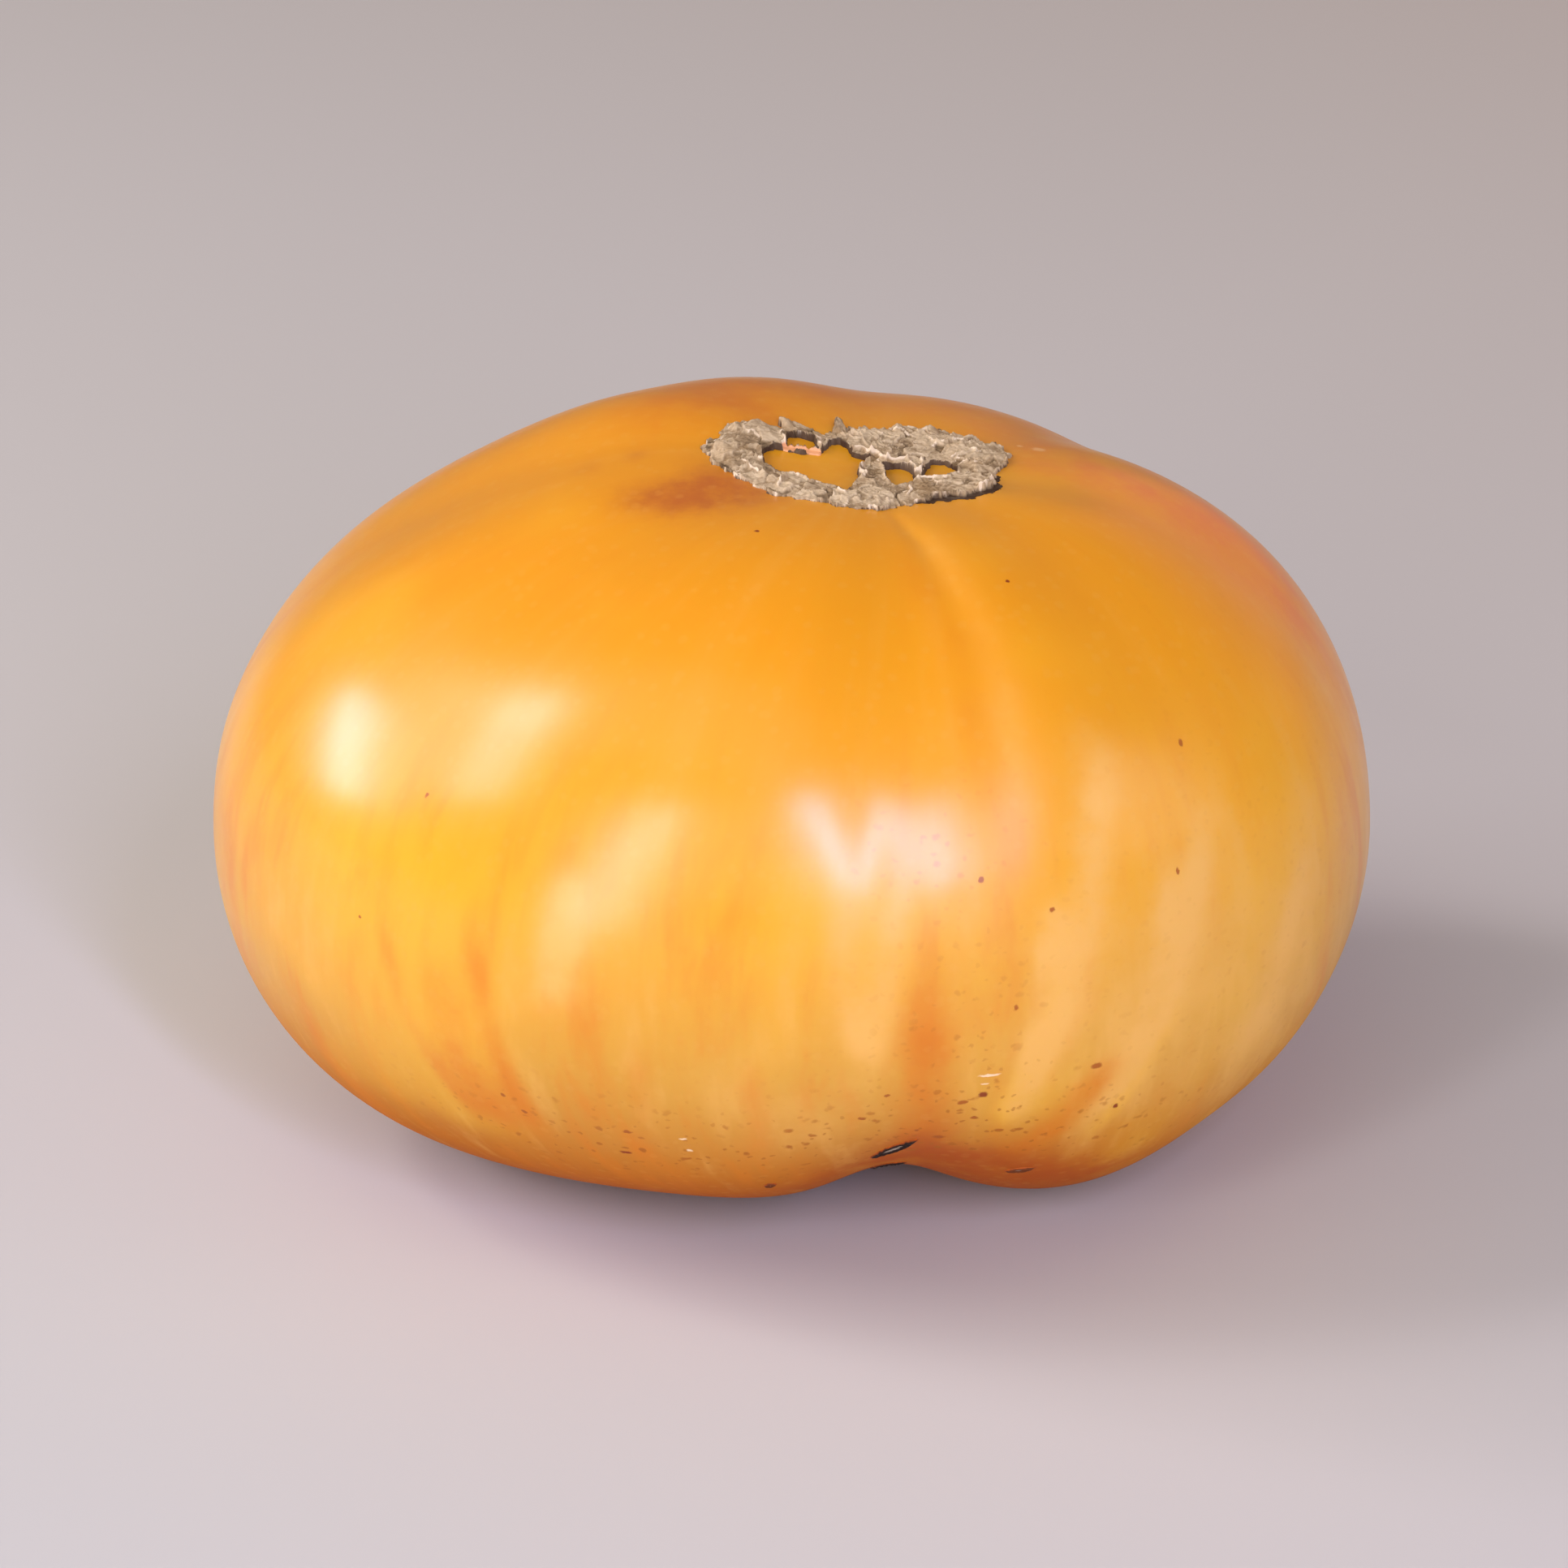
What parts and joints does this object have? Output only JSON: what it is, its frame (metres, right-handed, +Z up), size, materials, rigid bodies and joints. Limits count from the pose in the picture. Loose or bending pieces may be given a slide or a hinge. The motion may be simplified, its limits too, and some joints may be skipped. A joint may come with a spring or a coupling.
{
  "type": "tomato",
  "caption": "Large ribbed beefsteak tomato resting on its blossom end, orange skin with shallow furrows, a flat ragged corky stem scar on top and no stalk.",
  "frame": {"origin": "on the surface the fruit rests on, under the middle of the fruit's box", "axes": "+X along the fruit's longest side, +Z up towards the stem scar, -Y towards the side with the deepest furrow"},
  "size_m": [0.1054, 0.0972, 0.0666],
  "materials": {
    "skin": "smooth waxy fruit skin, glossy",
    "cork": "dry rough cork, matt"
  },
  "bodies": {
    "root": {"fruit": "skin", "stem_scar": "cork"}
  },
  "joints": []
}
